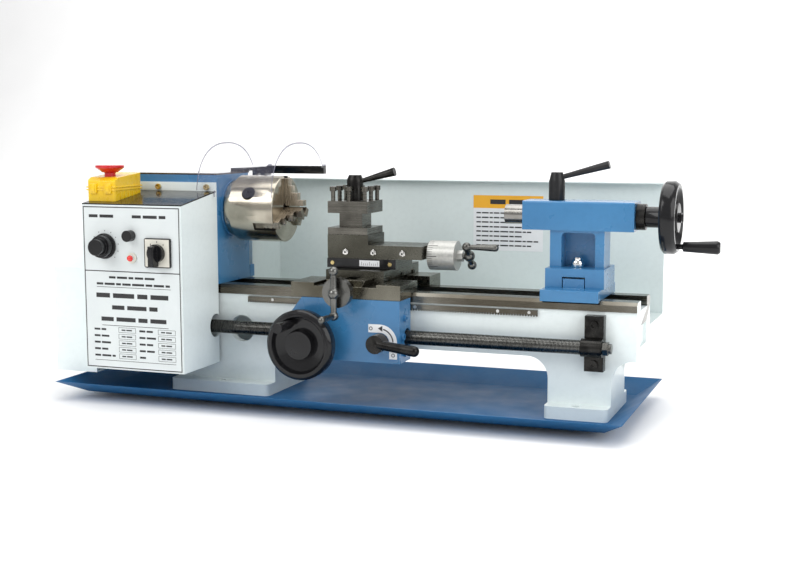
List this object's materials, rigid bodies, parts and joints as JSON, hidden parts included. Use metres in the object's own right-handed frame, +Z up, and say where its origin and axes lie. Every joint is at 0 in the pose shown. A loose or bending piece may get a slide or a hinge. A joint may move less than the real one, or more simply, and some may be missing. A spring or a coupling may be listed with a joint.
{
  "type": "metal lathe",
  "caption": "Bench metal lathe: headstock with jaw chuck, geared lead screw, carriage with cross and compound slides, tailstock, guards, control box and chip tray.",
  "frame": {"origin": "centre of the machine's overall footprint, on the surface that its rubber feet stand on", "axes": "+X from the headstock to the tailstock along the spindle axis, -Y towards the person working, +Z up"},
  "size_m": [0.777, 0.2918, 0.308],
  "materials": {
    "blue_paint": "semi-gloss enamel",
    "pale_paint": "semi-gloss enamel",
    "machined_steel": "ground and oiled",
    "bright_steel": "turned and polished",
    "black_steel": "blackened, satin",
    "bright_chrome": "polished",
    "gloss_black": "polished",
    "bronze": "machined",
    "brass_screws": "passivated yellow",
    "black_rubber": "matt",
    "clear_sheet": "clear polycarbonate",
    "pale_panel": "printed film",
    "circuit": "circuit board",
    "yellow_plastic": "moulded",
    "red_plastic": "moulded"
  },
  "bodies": {
    "bed": {"chip_tray": "blue_paint", "rubber_feet": "black_rubber", "lathe_bed": "pale_paint", "rack": "machined_steel", "headstock": "blue_paint", "headstock_cover": "black_steel", "spindle_bearings": "machined_steel", "motor": "black_steel", "drive_belt": "black_rubber", "gear_bracket": "machined_steel", "gear_cover": "pale_paint", "cover_screws": "brass_screws", "control_box": "pale_paint", "control_box_top": "black_steel", "control_panel": "pale_panel", "control_electronics": "circuit", "stop_housing": "yellow_plastic", "lead_screw_brackets": "black_steel", "splash_guard": "pale_paint"},
    "spindle": {"spindle": "machined_steel", "chuck_body": "bright_steel"},
    "chuck_scroll": {"chuck_scroll": "machined_steel"},
    "chuck_jaw_1": {"chuck_jaw_1": "machined_steel"},
    "chuck_jaw_2": {"chuck_jaw_2": "machined_steel"},
    "chuck_jaw_3": {"chuck_jaw_3": "machined_steel"},
    "chuck_pinion_1": {"chuck_pinion_1": "bright_steel"},
    "chuck_pinion_2": {"chuck_pinion_2": "bright_steel"},
    "chuck_pinion_3": {"chuck_pinion_3": "bright_steel"},
    "motor_rotor": {"motor_rotor": "black_steel"},
    "idler_gear": {"idler_gear": "machined_steel"},
    "stud_gear": {"stud_gear": "machined_steel"},
    "middle_gear": {"middle_gear": "machined_steel"},
    "lead_screw": {"lead_screw": "machined_steel"},
    "guard": {"guard_bar": "black_steel", "chuck_guard": "clear_sheet"},
    "speed_knob": {"speed_knob": "gloss_black"},
    "switch_knob": {"switch_knob": "gloss_black"},
    "stop_button": {"stop_button": "red_plastic"},
    "carriage": {"saddle": "machined_steel", "apron": "blue_paint"},
    "carriage_wheel": {"carriage_wheel": "gloss_black"},
    "carriage_handle": {"carriage_handle": "gloss_black"},
    "rack_pinion": {"rack_pinion": "machined_steel"},
    "half_nut_lever": {"half_nut_lever": "black_steel"},
    "upper_half_nut": {"upper_half_nut": "bronze"},
    "lower_half_nut": {"lower_half_nut": "bronze"},
    "cross_slide": {"cross_slide": "machined_steel"},
    "cross_crank": {"cross_crank": "bright_chrome"},
    "compound_base": {"compound_base": "machined_steel"},
    "compound_slide": {"compound_slide": "machined_steel"},
    "compound_crank": {"compound_crank": "bright_chrome"},
    "tool_post": {"tool_post": "black_steel"},
    "tool_post_lever": {"tool_post_lever": "black_steel"},
    "tailstock": {"tailstock_base": "blue_paint", "tailstock_body": "blue_paint", "tailstock_fittings": "black_steel"},
    "quill": {"quill": "machined_steel"},
    "tailstock_wheel": {"tailstock_wheel": "gloss_black"},
    "tailstock_handle": {"tailstock_handle": "gloss_black"},
    "quill_lock_lever": {"quill_lock_lever": "black_steel"}
  },
  "joints": [
    {"name": "spindle_turn", "type": "hinge", "parent": "bed", "child": "spindle", "pos_m": [-0.1975, 0.0079, 0.228], "axis": [1, 0, 0], "continuous": true},
    {"name": "motor_turn", "type": "hinge", "parent": "bed", "child": "motor_rotor", "pos_m": [-0.3375, 0.0959, 0.083], "axis": [1, 0, 0], "continuous": true},
    {"name": "idler_gear_turn", "type": "hinge", "parent": "bed", "child": "idler_gear", "pos_m": [-0.3595, 0.0132, 0.1934], "axis": [1, 0, 0], "continuous": true},
    {"name": "stud_gear_turn", "type": "hinge", "parent": "bed", "child": "stud_gear", "pos_m": [-0.3635, -0.01486, 0.17249], "axis": [1, 0, 0], "continuous": true},
    {"name": "middle_gear_turn", "type": "hinge", "parent": "bed", "child": "middle_gear", "pos_m": [-0.3675, -0.01204, 0.12257], "axis": [1, 0, 0], "continuous": true},
    {"name": "lead_screw_turn", "type": "hinge", "parent": "bed", "child": "lead_screw", "pos_m": [0.0025, -0.0491, 0.089], "axis": [1, 0, 0], "continuous": true},
    {"name": "chuck_scroll_turn", "type": "hinge", "parent": "spindle", "child": "chuck_scroll", "pos_m": [-0.1625, 0.0079, 0.228], "axis": [1, 0, 0], "range_deg": [-90, 1260]},
    {"name": "chuck_jaw_1_slide", "type": "slide", "parent": "spindle", "child": "chuck_jaw_1", "axis": [0, 0, 1], "range_m": [-0.001, 0.014]},
    {"name": "chuck_pinion_1_turn", "type": "hinge", "parent": "spindle", "child": "chuck_pinion_1", "pos_m": [-0.1605, 0.0079, 0.191], "axis": [0, 0, -1], "range_deg": [-360, 5040]},
    {"name": "chuck_jaw_2_slide", "type": "slide", "parent": "spindle", "child": "chuck_jaw_2", "axis": [0, -0.866, -0.5], "range_m": [-0.001, 0.014]},
    {"name": "chuck_pinion_2_turn", "type": "hinge", "parent": "spindle", "child": "chuck_pinion_2", "pos_m": [-0.1605, 0.03994, 0.2465], "axis": [0, 0.866, 0.5], "range_deg": [-360, 5040]},
    {"name": "chuck_jaw_3_slide", "type": "slide", "parent": "spindle", "child": "chuck_jaw_3", "axis": [0, 0.866, -0.5], "range_m": [-0.001, 0.014]},
    {"name": "chuck_pinion_3_turn", "type": "hinge", "parent": "spindle", "child": "chuck_pinion_3", "pos_m": [-0.1605, -0.02414, 0.2465], "axis": [0, -0.866, 0.5], "range_deg": [-360, 5040]},
    {"name": "guard_lift", "type": "hinge", "parent": "bed", "child": "guard", "pos_m": [-0.2075, 0.1109, 0.271], "axis": [-1, 0, 0], "range_deg": [0, 75]},
    {"name": "speed_knob_turn", "type": "hinge", "parent": "bed", "child": "speed_knob", "pos_m": [-0.2985, -0.1231, 0.189], "axis": [0, 1, 0], "range_deg": [0, 270]},
    {"name": "switch_knob_turn", "type": "hinge", "parent": "bed", "child": "switch_knob", "pos_m": [-0.2275, -0.1231, 0.183], "axis": [0, 1, 0], "range_deg": [-45, 45]},
    {"name": "stop_button_press", "type": "slide", "parent": "bed", "child": "stop_button", "axis": [0, 0, 1], "range_m": [-0.003, 0], "stiffness_N_per_m": 600},
    {"name": "carriage_travel", "type": "slide", "parent": "bed", "child": "carriage", "axis": [1, 0, 0], "range_m": [-0.028, 0.048]},
    {"name": "carriage_wheel_turn", "type": "hinge", "parent": "carriage", "child": "carriage_wheel", "pos_m": [-0.0605, -0.0921, 0.082], "axis": [0, 1, 0], "range_deg": [-400, 685]},
    {"name": "carriage_handle_spin", "type": "hinge", "parent": "carriage_wheel", "child": "carriage_handle", "pos_m": [-0.0705, -0.1121, 0.106], "axis": [0, 1, 0], "continuous": true},
    {"name": "rack_pinion_turn", "type": "hinge", "parent": "carriage", "child": "rack_pinion", "pos_m": [-0.05282, -0.0521, 0.111], "axis": [0, 1, 0], "range_deg": [-345, 205]},
    {"name": "half_nut_lever_turn", "type": "hinge", "parent": "carriage", "child": "half_nut_lever", "pos_m": [0.0261, -0.0821, 0.0855], "axis": [0, -1, 0], "range_deg": [0, 70]},
    {"name": "upper_half_nut_slide", "type": "slide", "parent": "carriage", "child": "upper_half_nut", "axis": [0, 0, -1], "range_m": [0, 0.0041]},
    {"name": "lower_half_nut_slide", "type": "slide", "parent": "carriage", "child": "lower_half_nut", "axis": [0, 0, 1], "range_m": [0, 0.0041]},
    {"name": "cross_slide_travel", "type": "slide", "parent": "carriage", "child": "cross_slide", "axis": [0, 1, 0], "range_m": [-0.0251, 0.0401]},
    {"name": "cross_crank_turn", "type": "hinge", "parent": "carriage", "child": "cross_crank", "pos_m": [-0.0175, -0.0921, 0.1426], "axis": [0, 1, 0], "range_deg": [-9000, 14400]},
    {"name": "compound_swivel", "type": "hinge", "parent": "cross_slide", "child": "compound_base", "pos_m": [-0.0175, 0.0079, 0.168], "axis": [0, 0, -1], "range_deg": [-30, 30]},
    {"name": "compound_slide_travel", "type": "slide", "parent": "compound_base", "child": "compound_slide", "axis": [-1, 0, 0], "range_m": [-0.0121, 0.0281]},
    {"name": "compound_crank_turn", "type": "hinge", "parent": "compound_slide", "child": "compound_crank", "pos_m": [0.0825, 0.0079, 0.178], "axis": [-1, 0, 0], "range_deg": [-4320, 10080]},
    {"name": "tool_post_turn", "type": "hinge", "parent": "compound_slide", "child": "tool_post", "pos_m": [-0.0365, 0.0079, 0.218], "axis": [0, 0, 1], "continuous": true},
    {"name": "tool_post_lever_turn", "type": "hinge", "parent": "compound_slide", "child": "tool_post_lever", "pos_m": [-0.0365, 0.0079, 0.248], "axis": [0, 0, 1], "range_deg": [-90, 90]},
    {"name": "tailstock_travel", "type": "slide", "parent": "bed", "child": "tailstock", "axis": [1, 0, 0], "range_m": [-0.045, 0.036]},
    {"name": "quill_travel", "type": "slide", "parent": "tailstock", "child": "quill", "axis": [-1, 0, 0], "range_m": [-0.0151, 0.0401]},
    {"name": "tailstock_wheel_turn", "type": "hinge", "parent": "tailstock", "child": "tailstock_wheel", "pos_m": [0.3325, 0.0079, 0.228], "axis": [-1, 0, 0], "range_deg": [-3600, 9600]},
    {"name": "tailstock_handle_spin", "type": "hinge", "parent": "tailstock_wheel", "child": "tailstock_handle", "pos_m": [0.3625, 0.0079, 0.1965], "axis": [1, 0, 0], "continuous": true},
    {"name": "quill_lock_turn", "type": "hinge", "parent": "tailstock", "child": "quill_lock_lever", "pos_m": [0.2075, 0.0079, 0.248], "axis": [0, 0, 1], "range_deg": [-60, 60]}
  ],
  "couplings": [
    {"joint": "motor_turn", "follows": "spindle_turn", "ratio": 2.0833},
    {"joint": "idler_gear_turn", "follows": "spindle_turn", "ratio": -1.3333},
    {"joint": "stud_gear_turn", "follows": "spindle_turn", "ratio": 1},
    {"joint": "middle_gear_turn", "follows": "spindle_turn", "ratio": -0.25},
    {"joint": "lead_screw_turn", "follows": "spindle_turn", "ratio": 0.0625},
    {"joint": "chuck_jaw_1_slide", "follows": "chuck_scroll_turn", "m_per_rad": 0.00063662},
    {"joint": "chuck_pinion_1_turn", "follows": "chuck_scroll_turn", "ratio": 4},
    {"joint": "chuck_jaw_2_slide", "follows": "chuck_scroll_turn", "m_per_rad": 0.00063662},
    {"joint": "chuck_pinion_2_turn", "follows": "chuck_scroll_turn", "ratio": 4},
    {"joint": "chuck_jaw_3_slide", "follows": "chuck_scroll_turn", "m_per_rad": 0.00063662},
    {"joint": "chuck_pinion_3_turn", "follows": "chuck_scroll_turn", "ratio": 4},
    {"joint": "carriage_travel", "follows": "carriage_wheel_turn", "m_per_rad": 0.004},
    {"joint": "rack_pinion_turn", "follows": "carriage_wheel_turn", "ratio": -0.5},
    {"joint": "upper_half_nut_slide", "follows": "half_nut_lever_turn", "m_per_rad": 0.003274},
    {"joint": "lower_half_nut_slide", "follows": "half_nut_lever_turn", "m_per_rad": 0.003274},
    {"joint": "cross_slide_travel", "follows": "cross_crank_turn", "m_per_rad": 0.00015915},
    {"joint": "compound_slide_travel", "follows": "compound_crank_turn", "m_per_rad": 0.00015915},
    {"joint": "quill_travel", "follows": "tailstock_wheel_turn", "m_per_rad": 0.00023873}
  ]
}
